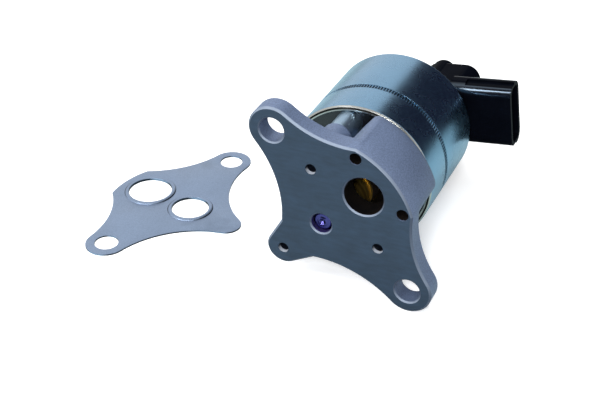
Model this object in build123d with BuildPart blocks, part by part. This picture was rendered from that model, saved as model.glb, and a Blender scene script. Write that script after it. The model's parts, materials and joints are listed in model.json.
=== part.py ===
"""Linear exhaust gas recirculation valve with its loose flange gasket, in millimetres.

The valve lies on its side on a flat surface, on its can and one flange ear. The origin is
the middle of the mounting face, between the two bolt holes. +Y runs from that face along
the valve spindle and +Z is up.
"""

import os
from math import acos, asin, atan2, cos, hypot, radians, sin, sqrt

from build123d import *

os.makedirs("parts", exist_ok=True)

# Mounting flange
bolt_spacing = 72.0
bolt_bore = 9.0
flange_thickness = 7.0
ear_radius = 8.6
face_bevel = 0.7
hole_bevel = 0.5
shoulder_x = 14.9
upper_bow = 38.0
waist_x = 8.6
waist_y = 22.3
lower_bow = 41.0
foot_setback = 1.38
foot_radius = 6.3
rim_width = 1.1

# Ports in the mounting face
spindle_y = 9.6
inlet_bore = 7.6
outlet_y = -11.5
outlet_bore = 14.2
dowel_x = 12.2
dowel_y = -19.0
dowel_bore = 4.4
dowel_depth = 11.0

# Gas chamber body that rises from the flange
body_half_width = 16.0
body_top_radius = 27.4
body_shoulder = 11.6
wall_back = 11.0
shelf_half_width = 14.8
shelf_top = 20.0
neck_half_width = 11.6
tube_radius = 14.6
corner_round = 3.0
back_round = 1.0
scoop_round = 3.5
shelf_scoop = 8.0
shelf_round = 1.6
chamber_bore = 21.5
chamber_floor = 8.6
chamber_roof = 25.0

# Standing columns, spacers and screws
column_angle = -33.7
column_radius = 5.5
column_top = 23.0
spacer_diameter = 9.4
screw_diameter = 3.8
screw_tip = 6.0
screw_head_diameter = 7.4
screw_head_height = 2.8
screw_socket = 3.0
screw_recess = 0.1

# Solenoid can
can_radius = 27.93
can_wall = 1.6
can_foot = 33.9
can_top = 79.0
crimp_lip = 1.3
crimp_overlap = 0.3
can_roll = 1.3
shoulder_round = 1.0
can_mouth_radius = 21.0
groove_height = 50.5
groove_width = 1.3
groove_depth = 0.35

# Magnet parts
base_plate_thickness = 5.0
top_plate_thickness = 3.0
sleeve_bore_radius = 12.0
sleeve_wall = 0.7
pole_wall = 2.0
lower_pole_top = 52.0
upper_pole_foot = 60.0
bobbin_wall = 1.2
bobbin_flange = 1.5
coil_gap = 0.7
winding_setback = 1.0
armature_length = 20.0
armature_foot = 46.0
armature_bevel = 1.0
stop_gap = 0.5

# Pintle, seat and bushing
lift = 4.5
stem_diameter = 5.0
seat_foot = 2.6
seat_height = 5.0
seat_radius = 7.0
seat_bore = 8.0
seat_cone = 1.6
nose_diameter = 7.0
nose_start = 1.2
nose_round = 1.8
nose_share = 0.62
nose_tip_rise = 0.5
head_land = 1.2
head_top = 10.8
stem_cover = 1.4
shield_radius = 6.0
shield_thickness = 0.8
bushing_radius = 9.2
bushing_foot = 14.5
bushing_cup_radius = 7.6
bushing_cup_depth = 2.7
bushing_groove_low = 21.0
bushing_groove_high = 24.0
bushing_groove_depth = 0.5
bushing_flange_radius = 11.0

# Springs
return_coil_radius = 5.6
return_wire = 1.5
return_turns = 5
sensor_coil_radius = 2.3
sensor_wire = 0.6
sensor_turns = 7
spring_pocket_radius = 7.2
spring_pocket_depth = 10.0

# Sensor cap and connector
cap_flange_radius = 24.0
cap_flange_height = 4.0
cap_flange_round = 1.2
tower_radius = 9.2
tower_height = 28.0
tower_round = 2.5
cavity_radius = 7.4
cavity_cover = 3.0
block_reach = 23.4
block_half_width = 11.5
block_back = 7.0
block_height = 29.5
block_corner = 6.0
block_round = 1.6
boss_radius = 4.9
boss_out = 7.8
boss_side = -7.0
boss_height = 32.8
boss_round = 3.0
connector_angle = 307.0
shroud_rise = 7.1
shroud_height = 11.3
shroud_half_width = 12.9
shroud_reach = 41.7
shroud_corner = 4.5
shroud_wall = 1.6
shroud_depth = 16.0
side_groove_low = 2.0
side_groove_high = 6.0
side_groove_depth = 0.75
latch_width = 5.0
latch_length = 5.0
latch_rise = 1.3
latch_setback = 1.5

# Position sensor and terminals
plunger_diameter = 6.0
plunger_stalk = 5.0
carrier_height = 6.0
carrier_size = 6.4
retainer_thickness = 2.0
board_thickness = 1.0
board_width = 6.0
board_length = 20.0
finger_width = 1.0
finger_pitch = 2.4
finger_height = 4.0
finger_inset = 1.0
terminal_count = 5
terminal_pitch = 3.4
terminal_width = 1.5
terminal_thickness = 0.8
terminal_hold = 6.2
terminal_recess = 6.0

# Seals
seal_inner = 21.8
seal_width = 1.6
seal_height = 1.2

# Loose gasket
gasket_thickness = 0.6
gasket_ear_radius = 7.9
gasket_bolt_bore = 8.9
gasket_shoulder = 10.1
gasket_arc_radius = 33.8
gasket_bow = 36.0
gasket_waist_x = 7.3
gasket_waist_y = 25.6
gasket_foot = 28.0
gasket_foot_radius = 5.6
gasket_inlet_bore = 14.4
gasket_outlet_bore = 17.0
bead_width = 1.7
bead_height = 0.5
gasket_x = -83.0
gasket_y = 29.3
gasket_turn = 256.4

# Clearances
running_gap = 0.05
seat_gap = 0.1
board_gap = 0.02
slip_gap = 0.2
air_gap = 0.3
loose_gap = 0.4
stem_hole_gap = 0.7

# Resting attitude: one ear and the can stand on the surface together
bolt_x = bolt_spacing / 2
ear_reach = hypot(bolt_x, spindle_y)
lean = acos((can_radius - ear_radius) / ear_reach) - atan2(spindle_y, bolt_x)
across = (sin(lean), 0, -cos(lean))
mounting_plane = Plane(origin=(0, 0, 0), x_dir=across, z_dir=(0, 1, 0))
spindle_foot = mounting_plane.from_local_coords((0, spindle_y, 0))
spindle = Axis(spindle_foot, (0, 1, 0))
profile_plane = Plane(origin=spindle_foot, x_dir=across, z_dir=(cos(lean), 0, sin(lean)))
side_plane = Plane(origin=(0, 0, 0), x_dir=mounting_plane.y_dir, z_dir=mounting_plane.x_dir)
surface_height = spindle_foot.Z - can_radius

# Derived radii and heights
body_root = flange_thickness / 2
flange_arc_radius = hypot(dowel_x, dowel_y - spindle_y) + dowel_bore / 2 + rim_width
plate_foot = can_foot + crimp_lip
plate_top = plate_foot + base_plate_thickness
can_inside = can_radius - can_wall
lip_inside = can_inside - crimp_overlap
body_top = can_foot - air_gap
body_upright = body_top - body_shoulder
can_ceiling = can_top - can_wall
top_plate_foot = can_ceiling - top_plate_thickness
sleeve_outside = sleeve_bore_radius + sleeve_wall
pole_outside = sleeve_outside + slip_gap + pole_wall
bobbin_bore = pole_outside + air_gap
bobbin_tube = bobbin_bore + bobbin_wall
bobbin_flange_radius = can_inside - coil_gap
winding_radius = bobbin_flange_radius - winding_setback
bobbin_foot = plate_top + air_gap
bobbin_top = top_plate_foot - air_gap
armature_radius = sleeve_bore_radius - loose_gap
armature_top = armature_foot + armature_length
plug_foot = armature_top + lift + stop_gap
stem_radius = stem_diameter / 2
stem_top = can_ceiling - stem_cover
tower_top = can_top + tower_height
cavity_roof = tower_top - cavity_cover
block_top = can_top + block_height
boss_top = can_top + boss_height
shroud_foot = can_top + shroud_rise
plunger_shoulder = can_top + plunger_stalk
plunger_top = plunger_shoulder + carrier_height
terminal_root = shroud_reach - shroud_depth - terminal_hold
terminal_tip = shroud_reach - terminal_recess
seat_top = seat_foot + seat_height
column_reach = lip_inside - spacer_diameter / 2 - running_gap
column_x = column_reach * cos(radians(column_angle))
column_y = spindle_y + column_reach * sin(radians(column_angle))
foot_y = spindle_y + column_reach - foot_setback
fixing_spots = [(column_x, column_y), (-column_x, column_y), (0, foot_y)]


def at(height):
    """Plane square to the spindle, this far from the mounting face."""
    return mounting_plane.offset(height)


def flank_centre(corner, ear, ear_r, bow):
    """Centre of the hollow flank that starts at a corner and flows into an ear."""
    gap = hypot(ear[0] - corner[0], ear[1] - corner[1])
    along = (bow**2 - (bow + ear_r) ** 2 + gap**2) / (2 * gap)
    aside = sqrt(bow**2 - along**2)
    ux = (ear[0] - corner[0]) / gap
    uy = (ear[1] - corner[1]) / gap
    side = 1 if corner[1] > 0 else -1
    return corner[0] + along * ux - side * aside * uy, corner[1] + along * uy + side * aside * ux


def flank(corner, ear, ear_r, bow):
    """Middle and end point of the flank arc from the corner to the ear."""
    cx, cy = flank_centre(corner, ear, ear_r, bow)
    share = ear_r / (bow + ear_r)
    end = (ear[0] + (cx - ear[0]) * share, ear[1] + (cy - ear[1]) * share)
    mx = (corner[0] + end[0]) / 2 - cx
    my = (corner[1] + end[1]) / 2 - cy
    reach = bow / hypot(mx, my)
    return (cx + mx * reach, cy + my * reach), end


def kite_face(arc_r, shoulder, ear_r, bows, waist, foot, foot_r):
    """Outline shared by the flange and the gasket: two bolt ears, a foot and an arched head."""
    ear = (bolt_x, 0)
    corner = (shoulder, spindle_y - sqrt(arc_r**2 - shoulder**2))
    upper_mid, upper_end = flank(corner, ear, ear_r, bows[0])
    lower_mid, lower_end = flank(waist, ear, ear_r, bows[1])
    span = hypot(waist[0], waist[1] - foot)
    turn = atan2(waist[1] - foot, waist[0]) + acos(foot_r / span)
    tangent = (foot_r * cos(turn), foot + foot_r * sin(turn))
    with BuildSketch() as outline:
        with BuildLine():
            ThreePointArc((0, spindle_y - arc_r), (arc_r * sin(asin(shoulder / arc_r) / 2),
                          spindle_y - arc_r * cos(asin(shoulder / arc_r) / 2)), corner)
            ThreePointArc(corner, upper_mid, upper_end)
            ThreePointArc(upper_end, (bolt_x + ear_r, 0), lower_end)
            ThreePointArc(lower_end, lower_mid, waist)
            Line(waist, tangent)
            ThreePointArc(tangent, (foot_r * sin((radians(90) - turn) / 2),
                          foot + foot_r * cos((radians(90) - turn) / 2)), (0, foot + foot_r))
            mirror(about=Plane.YZ)
        make_face()
    return outline.sketch


def side_place(edge):
    """Sideways place of an edge's middle, across the mounting face."""
    return mounting_plane.to_local_coords(edge.center()).X


def depth_place(edge):
    """Lengthways place of an edge's middle, along the mounting face."""
    return mounting_plane.to_local_coords(edge.center()).Y


def helix_wire(radius, wire, turns, foot, top):
    """Round spring wire wound about the spindle between two heights."""
    rise = top - foot - wire
    start = profile_plane.from_local_coords((0, foot + wire / 2, 0))
    with BuildPart() as coil:
        with BuildLine() as path:
            Helix(pitch=rise / turns, height=rise, radius=radius, center=start, direction=(0, 1, 0))
        with BuildSketch(Plane(path.line @ 0, z_dir=path.line % 0)):
            Circle(wire / 2)
        sweep(path=path.line, is_frenet=True)
    return coil.part


# Cast flange with gas chamber body and three columns
flange_face = kite_face(flange_arc_radius, shoulder_x, ear_radius, (upper_bow, lower_bow),
                        (waist_x, waist_y), foot_y, foot_radius)
wall_front = spindle_y - flange_arc_radius
scoop_top = shelf_top + shelf_scoop
with BuildPart() as shelf:
    with BuildSketch(side_plane):
        with BuildLine():
            Polyline((-wall_back, scoop_top), (-wall_back - corner_round, scoop_top),
                     (-wall_back - corner_round, body_root), (spindle_y, body_root),
                     (spindle_y, shelf_top), (shelf_scoop - wall_back, shelf_top))
            TangentArc((shelf_scoop - wall_back, shelf_top), (-wall_back, scoop_top), tangent=(-1, 0))
        make_face()
    extrude(amount=shelf_half_width, both=True)
    rims = shelf.edges().filter_by(lambda e: abs(side_place(e)) > shelf_half_width - running_gap)
    rims = rims.filter_by(lambda e: e.center().Y > shelf_top - running_gap)
    fillet(rims.filter_by(lambda e: depth_place(e) > -wall_back + running_gap), shelf_round)
with BuildPart() as base_housing:
    with BuildSketch(at(body_root)) as wall_plan:
        with Locations((0, spindle_y)):
            Circle(tube_radius)
        with Locations((0, spindle_y - flange_arc_radius / 2)):
            Rectangle(2 * neck_half_width, flange_arc_radius)
        with Locations((0, (wall_front - wall_back) / 2)):
            Rectangle(2 * body_half_width, -wall_back - wall_front)
        inner_corners = wall_plan.vertices()
        inner_corners = inner_corners.filter_by(lambda v: abs(v.X) < body_half_width - running_gap)
        fillet(inner_corners.filter_by(lambda v: v.Y > wall_front + running_gap), scoop_round)
    extrude(amount=body_top - body_root)
    with BuildSketch(profile_plane):
        with BuildLine():
            Line((0, body_root), (flange_arc_radius, body_root))
            Line((flange_arc_radius, body_root), (flange_arc_radius, body_upright))
            TangentArc((flange_arc_radius, body_upright), (body_top_radius, body_top), tangent=(0, 1))
            Line((body_top_radius, body_top), (0, body_top))
            Line((0, body_top), (0, body_root))
        make_face()
    revolve(axis=spindle, mode=Mode.INTERSECT)
    uprights = base_housing.edges().filter_by(lambda e: e.bounding_box().size.Y > corner_round)
    flanks = uprights.filter_by(lambda e: body_half_width - abs(side_place(e)) < running_gap)
    fillet(flanks.filter_by(lambda e: depth_place(e) < -wall_back - running_gap), corner_round)
    backs = base_housing.edges().filter_by(lambda e: abs(depth_place(e) + wall_back) < running_gap)
    fillet(backs.filter_by(lambda e: body_half_width - abs(side_place(e)) < running_gap), back_round)
    add(shelf.part)
    with BuildSketch(at(0)):
        add(flange_face)
    extrude(amount=flange_thickness)
    with BuildSketch(at(flange_thickness)):
        with Locations(*fixing_spots):
            Circle(column_radius)
    extrude(amount=column_top - flange_thickness)
    face_edges = base_housing.faces().sort_by(Axis.Y)[0].outer_wire().edges()
    chamfer(face_edges, face_bevel)
    with BuildSketch(at(0)):
        with Locations((bolt_x, 0), (-bolt_x, 0)):
            Circle(bolt_bore / 2)
        with Locations((0, spindle_y)):
            Circle(inlet_bore / 2)
    extrude(amount=flange_thickness, mode=Mode.SUBTRACT)
    with BuildSketch(at(0)):
        with Locations((0, outlet_y)):
            Circle(outlet_bore / 2)
    extrude(amount=chamber_roof, mode=Mode.SUBTRACT)
    with BuildSketch(at(seat_foot)):
        with Locations((0, spindle_y)):
            Circle(seat_radius)
    extrude(amount=seat_height, mode=Mode.SUBTRACT)
    with BuildSketch(at(seat_top)):
        with Locations((0, spindle_y)):
            Circle(chamber_bore / 2)
    extrude(amount=chamber_roof - seat_top, mode=Mode.SUBTRACT)
    with BuildSketch(at(chamber_floor)):
        with Locations((0, (spindle_y + outlet_y) / 2)):
            Rectangle(outlet_bore, spindle_y - outlet_y)
    extrude(amount=chamber_roof - chamber_floor, mode=Mode.SUBTRACT)
    with BuildSketch(at(chamber_roof)):
        with Locations((0, spindle_y)):
            Circle(bushing_radius)
    extrude(amount=body_top - chamber_roof, mode=Mode.SUBTRACT)
    with BuildSketch(at(0)):
        with Locations(*fixing_spots):
            Circle(screw_diameter / 2 + running_gap)
    extrude(amount=column_top, mode=Mode.SUBTRACT)
    with BuildSketch(at(0)):
        with Locations((dowel_x, dowel_y), (-dowel_x, dowel_y)):
            Circle(dowel_bore / 2)
    extrude(amount=dowel_depth, mode=Mode.SUBTRACT)
    mouths = base_housing.faces().sort_by(Axis.Y)[0].inner_wires()
    big_mouths = mouths.filter_by(lambda w: w.length > 3 * inlet_bore)
    chamfer(big_mouths.edges(), hole_bevel)
base_housing.part.label = "base_housing"
export_step(base_housing.part, "parts/base_housing.step")

# Hardened seat pressed in behind the inlet
with BuildPart() as valve_seat:
    with BuildSketch(profile_plane):
        with BuildLine():
            Polyline((seat_bore / 2, seat_foot), (seat_radius, seat_foot), (seat_radius, seat_top),
                     (seat_bore / 2 + seat_cone, seat_top), (seat_bore / 2, seat_top - seat_cone),
                     close=True)
        make_face()
    revolve(axis=spindle)
valve_seat.part.label = "valve_seat"
export_step(valve_seat.part, "parts/valve_seat.step")

# Pintle with its nose in the seat and a long stem
nose_radius = nose_diameter / 2
cone_low = seat_top - seat_cone + seat_gap * sqrt(2)
cone_out = seat_bore / 2 + seat_cone - seat_gap
cone_foot = cone_low - seat_bore / 2
with BuildPart() as pintle:
    with BuildSketch(profile_plane):
        with BuildLine():
            ThreePointArc((0, nose_start), (nose_radius * nose_share, nose_start + nose_tip_rise),
                          (nose_radius, nose_start + nose_round))
            Polyline((nose_radius, nose_start + nose_round), (nose_radius, cone_foot + nose_radius),
                     (cone_out, cone_foot + cone_out), (cone_out, seat_top + head_land),
                     (stem_radius, head_top), (stem_radius, stem_top), (0, stem_top), (0, nose_start))
        make_face()
    revolve(axis=spindle)
pintle.part.label = "pintle"
export_step(pintle.part, "parts/pintle.step")

# Cupped shield on the stem that keeps soot off the bushing
with BuildPart() as gas_shield:
    with BuildSketch(profile_plane):
        with BuildLine():
            Polyline((stem_radius, head_top), (shield_radius, head_top),
                     (shield_radius, head_top - 2 * shield_thickness),
                     (shield_radius + shield_thickness, head_top - 2 * shield_thickness),
                     (shield_radius + shield_thickness, head_top + shield_thickness),
                     (stem_radius, head_top + shield_thickness), close=True)
        make_face()
    revolve(axis=spindle)
gas_shield.part.label = "gas_shield"
export_step(gas_shield.part, "parts/gas_shield.step")

# Flanged bronze bushing that guides the stem
with BuildPart() as stem_bushing:
    with BuildSketch(profile_plane):
        with BuildLine():
            Polyline((stem_radius + running_gap, bushing_foot + bushing_cup_depth),
                     (bushing_cup_radius, bushing_foot + bushing_cup_depth),
                     (bushing_cup_radius, bushing_foot), (bushing_radius, bushing_foot),
                     (bushing_radius, bushing_groove_low),
                     (bushing_radius - bushing_groove_depth, bushing_groove_low),
                     (bushing_radius - bushing_groove_depth, bushing_groove_high),
                     (bushing_radius, bushing_groove_high), (bushing_radius, body_top),
                     (bushing_flange_radius, body_top), (bushing_flange_radius, plate_foot),
                     (stem_radius + running_gap, plate_foot), close=True)
        make_face()
    revolve(axis=spindle)
stem_bushing.part.label = "stem_bushing"
export_step(stem_bushing.part, "parts/stem_bushing.step")

# Spacers between the columns and the base plate
with BuildPart() as spacer_posts:
    with BuildSketch(at(column_top)):
        with Locations(*fixing_spots):
            Circle(spacer_diameter / 2)
            Circle(screw_diameter / 2 + running_gap, mode=Mode.SUBTRACT)
    extrude(amount=plate_foot - column_top)
spacer_posts.part.label = "spacer_posts"
export_step(spacer_posts.part, "parts/spacer_posts.step")

# Socket screws that hold the magnet on the columns
head_seat = plate_top - screw_head_height - screw_recess
with BuildPart() as housing_screws:
    with BuildSketch(at(screw_tip)):
        with Locations(*fixing_spots):
            Circle(screw_diameter / 2)
    extrude(amount=head_seat - screw_tip)
    with BuildSketch(at(head_seat)):
        with Locations(*fixing_spots):
            Circle(screw_head_diameter / 2)
    extrude(amount=screw_head_height)
    with BuildSketch(at(head_seat + screw_head_height / 2)):
        with Locations(*fixing_spots):
            RegularPolygon(screw_socket / 2, 6)
    extrude(amount=screw_head_height / 2, mode=Mode.SUBTRACT)
housing_screws.part.label = "housing_screws"
export_step(housing_screws.part, "parts/housing_screws.step")

# Steel base plate under the coil
with BuildPart() as base_plate:
    with BuildSketch(at(plate_foot)):
        with Locations((0, spindle_y)):
            Circle(can_inside)
            Circle(stem_radius + loose_gap, mode=Mode.SUBTRACT)
        with Locations(*fixing_spots):
            Circle(screw_diameter / 2 + running_gap, mode=Mode.SUBTRACT)
    extrude(amount=base_plate_thickness)
    with BuildSketch(at(head_seat)):
        with Locations(*fixing_spots):
            Circle(screw_head_diameter / 2 + slip_gap)
    extrude(amount=plate_top - head_seat, mode=Mode.SUBTRACT)
base_plate.part.label = "base_plate"
export_step(base_plate.part, "parts/base_plate.step")

# Drawn steel can, crimped over the base plate
with BuildPart() as solenoid_can:
    with BuildSketch(profile_plane):
        with BuildLine():
            Polyline((can_radius - can_roll, can_foot), (lip_inside, can_foot), (lip_inside, plate_foot),
                     (can_inside, plate_foot), (can_inside, can_ceiling), (can_mouth_radius, can_ceiling),
                     (can_mouth_radius, can_top), (can_radius - shoulder_round, can_top))
            RadiusArc((can_radius - shoulder_round, can_top), (can_radius, can_top - shoulder_round),
                      shoulder_round)
            Polyline((can_radius, can_top - shoulder_round),
                     (can_radius, groove_height + groove_width / 2),
                     (can_radius - groove_depth, groove_height + groove_width / 4),
                     (can_radius - groove_depth, groove_height - groove_width / 4),
                     (can_radius, groove_height - groove_width / 2),
                     (can_radius, can_foot + can_roll))
            RadiusArc((can_radius, can_foot + can_roll), (can_radius - can_roll, can_foot), can_roll)
        make_face()
    revolve(axis=spindle)
solenoid_can.part.label = "solenoid_can"
export_step(solenoid_can.part, "parts/solenoid_can.step")

# Lower and upper pole rings around the sleeve
with BuildPart() as lower_pole:
    with BuildSketch(at(plate_top)):
        with Locations((0, spindle_y)):
            Circle(pole_outside)
            Circle(pole_outside - pole_wall, mode=Mode.SUBTRACT)
    extrude(amount=lower_pole_top - plate_top)
lower_pole.part.label = "lower_pole"
export_step(lower_pole.part, "parts/lower_pole.step")

with BuildPart() as upper_pole:
    with BuildSketch(at(upper_pole_foot)):
        with Locations((0, spindle_y)):
            Circle(pole_outside)
            Circle(pole_outside - pole_wall, mode=Mode.SUBTRACT)
    extrude(amount=top_plate_foot - upper_pole_foot)
upper_pole.part.label = "upper_pole"
export_step(upper_pole.part, "parts/upper_pole.step")

# Brass sleeve that the armature slides in
with BuildPart() as armature_sleeve:
    with BuildSketch(at(plate_top)):
        with Locations((0, spindle_y)):
            Circle(sleeve_outside)
            Circle(sleeve_bore_radius, mode=Mode.SUBTRACT)
    extrude(amount=top_plate_foot - plate_top)
armature_sleeve.part.label = "armature_sleeve"
export_step(armature_sleeve.part, "parts/armature_sleeve.step")

# Armature fixed on the stem, with a pocket for the return spring
with BuildPart() as armature:
    with BuildSketch(profile_plane):
        with BuildLine():
            Polyline((stem_radius, armature_foot), (armature_radius - armature_bevel, armature_foot),
                     (armature_radius, armature_foot + armature_bevel), (armature_radius, armature_top),
                     (spring_pocket_radius, armature_top),
                     (spring_pocket_radius, armature_top - spring_pocket_depth),
                     (stem_radius, armature_top - spring_pocket_depth), close=True)
        make_face()
    revolve(axis=spindle)
armature.part.label = "armature"
export_step(armature.part, "parts/armature.step")

# Return spring between the armature pocket and the top plate
return_spring = helix_wire(return_coil_radius, return_wire, return_turns,
                           armature_top - spring_pocket_depth, plug_foot)
return_spring.label = "return_spring"
export_step(return_spring, "parts/return_spring.step")

# Moulded bobbin
with BuildPart() as coil_bobbin:
    with BuildSketch(profile_plane):
        with BuildLine():
            Polyline((bobbin_bore, bobbin_foot), (bobbin_flange_radius, bobbin_foot),
                     (bobbin_flange_radius, bobbin_foot + bobbin_flange),
                     (bobbin_tube, bobbin_foot + bobbin_flange), (bobbin_tube, bobbin_top - bobbin_flange),
                     (bobbin_flange_radius, bobbin_top - bobbin_flange),
                     (bobbin_flange_radius, bobbin_top), (bobbin_bore, bobbin_top), close=True)
        make_face()
    revolve(axis=spindle)
coil_bobbin.part.label = "coil_bobbin"
export_step(coil_bobbin.part, "parts/coil_bobbin.step")

# Copper winding
with BuildPart() as coil_winding:
    with BuildSketch(at(bobbin_foot + bobbin_flange)):
        with Locations((0, spindle_y)):
            Circle(winding_radius)
            Circle(bobbin_tube, mode=Mode.SUBTRACT)
    extrude(amount=bobbin_top - bobbin_foot - 2 * bobbin_flange)
coil_winding.part.label = "coil_winding"
export_step(coil_winding.part, "parts/coil_winding.step")

# Top plate with the stop plug
with BuildPart() as top_plate:
    with BuildSketch(profile_plane):
        with BuildLine():
            Polyline((stem_radius + stem_hole_gap, plug_foot), (sleeve_bore_radius - slip_gap, plug_foot),
                     (sleeve_bore_radius - slip_gap, top_plate_foot), (can_inside, top_plate_foot),
                     (can_inside, can_ceiling), (stem_radius + stem_hole_gap, can_ceiling), close=True)
        make_face()
    revolve(axis=spindle)
top_plate.part.label = "top_plate"
export_step(top_plate.part, "parts/top_plate.step")

# Directions of the connector: outwards and sideways
out = radians(connector_angle)
outward_dir = mounting_plane.from_local_coords((cos(out), sin(out), 0))
sideways_dir = mounting_plane.from_local_coords((-sin(out), cos(out), 0))


def deck(height):
    """Plane square to the spindle with its x axis along the connector."""
    return Plane(origin=spindle_foot + Vector(0, height, 0), x_dir=outward_dir, z_dir=(0, 1, 0))


def gate(reach):
    """Plane square to the connector: x sideways, y along the spindle."""
    return Plane(origin=spindle_foot + outward_dir * reach, x_dir=sideways_dir,
                 z_dir=sideways_dir.cross(Vector(0, 1, 0)))


# Moulded sensor cap with its connector shroud
shroud_top = shroud_foot + shroud_height
shroud_mid = shroud_foot + shroud_height / 2
with BuildPart() as sensor_cap:
    with BuildSketch(deck(can_ceiling)):
        Circle(can_mouth_radius - slip_gap)
    extrude(amount=can_top - can_ceiling)
    with BuildSketch(deck(can_top)):
        Circle(cap_flange_radius)
    extrude(amount=cap_flange_height)
    fillet(sensor_cap.edges().filter_by(GeomType.CIRCLE).sort_by(Axis.Y)[-1], cap_flange_round)
    with BuildSketch(deck(can_top + cap_flange_height)):
        Circle(tower_radius)
    extrude(amount=tower_top - can_top - cap_flange_height)
    fillet(sensor_cap.edges().filter_by(GeomType.CIRCLE).sort_by(Axis.Y)[-1], tower_round)
    with BuildSketch(deck(can_top + cap_flange_height / 2)):
        with Locations(((block_back + block_reach) / 2 - block_corner / 2, 0)):
            RectangleRounded(block_reach - block_back + block_corner, 2 * block_half_width, block_corner)
    extrude(amount=block_top - can_top - cap_flange_height / 2)
    fillet(sensor_cap.faces().sort_by(Axis.Y)[-1].edges(), block_round)
    with BuildSketch(deck(can_top + cap_flange_height / 2)):
        with Locations((boss_out, boss_side)):
            Circle(boss_radius)
    extrude(amount=boss_top - can_top - cap_flange_height / 2)
    fillet(sensor_cap.faces().sort_by(Axis.Y)[-1].edges(), boss_round)
    with BuildSketch(gate(block_reach - block_corner)):
        with Locations((0, shroud_mid)):
            RectangleRounded(2 * shroud_half_width, shroud_height, shroud_corner)
    extrude(amount=shroud_reach - block_reach + block_corner)
    with BuildSketch(gate(shroud_reach - shroud_depth)):
        with Locations((0, shroud_mid)):
            RectangleRounded(2 * (shroud_half_width - shroud_wall), shroud_height - 2 * shroud_wall,
                             shroud_corner - shroud_wall)
    extrude(amount=shroud_depth, mode=Mode.SUBTRACT)
    groove_mid = shroud_foot + (side_groove_low + side_groove_high) / 2
    with BuildSketch(gate(block_reach)):
        with Locations((shroud_half_width, groove_mid), (-shroud_half_width, groove_mid)):
            Rectangle(2 * side_groove_depth, side_groove_high - side_groove_low)
    extrude(amount=shroud_reach - block_reach, mode=Mode.SUBTRACT)
    with BuildSketch(deck(can_ceiling)):
        Circle(cavity_radius)
    extrude(amount=cavity_roof - can_ceiling, mode=Mode.SUBTRACT)
    with BuildSketch(deck(can_top)):
        Circle(seal_inner + seal_width)
        Circle(seal_inner, mode=Mode.SUBTRACT)
    extrude(amount=seal_height, mode=Mode.SUBTRACT)
    with BuildSketch(Plane(origin=spindle_foot, x_dir=outward_dir, z_dir=-sideways_dir)):
        with BuildLine():
            ramp_start = shroud_reach - latch_length - latch_setback
            ramp_end = ramp_start + latch_length
            Polyline((ramp_start, shroud_top - slip_gap), (ramp_end, shroud_top - slip_gap),
                     (ramp_end, shroud_top), (ramp_start, shroud_top + latch_rise), close=True)
        make_face()
    extrude(amount=latch_width / 2, both=True)
    with BuildSketch(gate(terminal_root)):
        for place in range(terminal_count):
            with Locations(((place - (terminal_count - 1) / 2) * terminal_pitch, shroud_mid)):
                Rectangle(terminal_width, terminal_thickness)
    extrude(amount=shroud_reach - shroud_depth - terminal_root, mode=Mode.SUBTRACT)
sensor_cap.part.label = "sensor_cap"
export_step(sensor_cap.part, "parts/sensor_cap.step")

# Blade terminals moulded into the connector
with BuildPart() as terminals:
    with BuildSketch(gate(terminal_root)):
        for place in range(terminal_count):
            with Locations(((place - (terminal_count - 1) / 2) * terminal_pitch, shroud_mid)):
                Rectangle(terminal_width, terminal_thickness)
    extrude(amount=terminal_tip - terminal_root)
terminals.part.label = "terminals"
export_step(terminals.part, "parts/terminals.step")

# Flat ring seal between the cap and the can
with BuildPart() as cap_seal:
    with BuildSketch(deck(can_top)):
        Circle(seal_inner + seal_width)
        Circle(seal_inner, mode=Mode.SUBTRACT)
    extrude(amount=seal_height)
cap_seal.part.label = "cap_seal"
export_step(cap_seal.part, "parts/cap_seal.step")

# Retainer that closes the sensor cavity and guides the plunger
plunger_radius = plunger_diameter / 2
with BuildPart() as sensor_retainer:
    with BuildSketch(deck(can_ceiling)):
        Circle(cavity_radius)
        Circle(plunger_radius + running_gap, mode=Mode.SUBTRACT)
    extrude(amount=retainer_thickness)
sensor_retainer.part.label = "sensor_retainer"
export_step(sensor_retainer.part, "parts/sensor_retainer.step")

# Sensor plunger that follows the stem, with a square carrier for the wiper
pocket_radius = sensor_coil_radius + sensor_wire / 2 + slip_gap
with BuildPart() as sensor_plunger:
    with BuildSketch(deck(stem_top + seat_gap)):
        Circle(plunger_radius)
    extrude(amount=plunger_shoulder - stem_top - seat_gap)
    with BuildSketch(deck(plunger_shoulder)):
        Rectangle(carrier_size, carrier_size)
    extrude(amount=plunger_top - plunger_shoulder)
    with BuildSketch(deck(plunger_top - (plunger_top - plunger_shoulder) / 2)):
        Circle(pocket_radius)
    extrude(amount=(plunger_top - plunger_shoulder) / 2, mode=Mode.SUBTRACT)
sensor_plunger.part.label = "sensor_plunger"
export_step(sensor_plunger.part, "parts/sensor_plunger.step")

# Resistive track board on the back wall of the cavity
board_back = sqrt(cavity_radius**2 - (board_width / 2) ** 2) - board_gap
board_foot = can_ceiling + retainer_thickness
with BuildPart() as track_board:
    with BuildSketch(deck(board_foot)):
        with Locations((-(board_back - board_thickness / 2), 0)):
            Rectangle(board_thickness, board_width)
    extrude(amount=board_length)
track_board.part.label = "track_board"
export_step(track_board.part, "parts/track_board.step")

# Wiper fingers on the carrier
finger_reach = board_back - board_thickness - carrier_size / 2 - seat_gap
with BuildPart() as wiper_contacts:
    with BuildSketch(deck(plunger_shoulder + finger_inset)):
        for side in (-1, 1):
            with Locations((-(carrier_size / 2 + finger_reach / 2), side * finger_pitch / 2)):
                Rectangle(finger_reach, finger_width)
    extrude(amount=finger_height)
wiper_contacts.part.label = "wiper_contacts"
export_step(wiper_contacts.part, "parts/wiper_contacts.step")

# Light spring that keeps the plunger on the stem
sensor_spring = helix_wire(sensor_coil_radius, sensor_wire, sensor_turns,
                           (plunger_top + plunger_shoulder) / 2, cavity_roof)
sensor_spring.label = "sensor_spring"
export_step(sensor_spring, "parts/sensor_spring.step")

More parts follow.
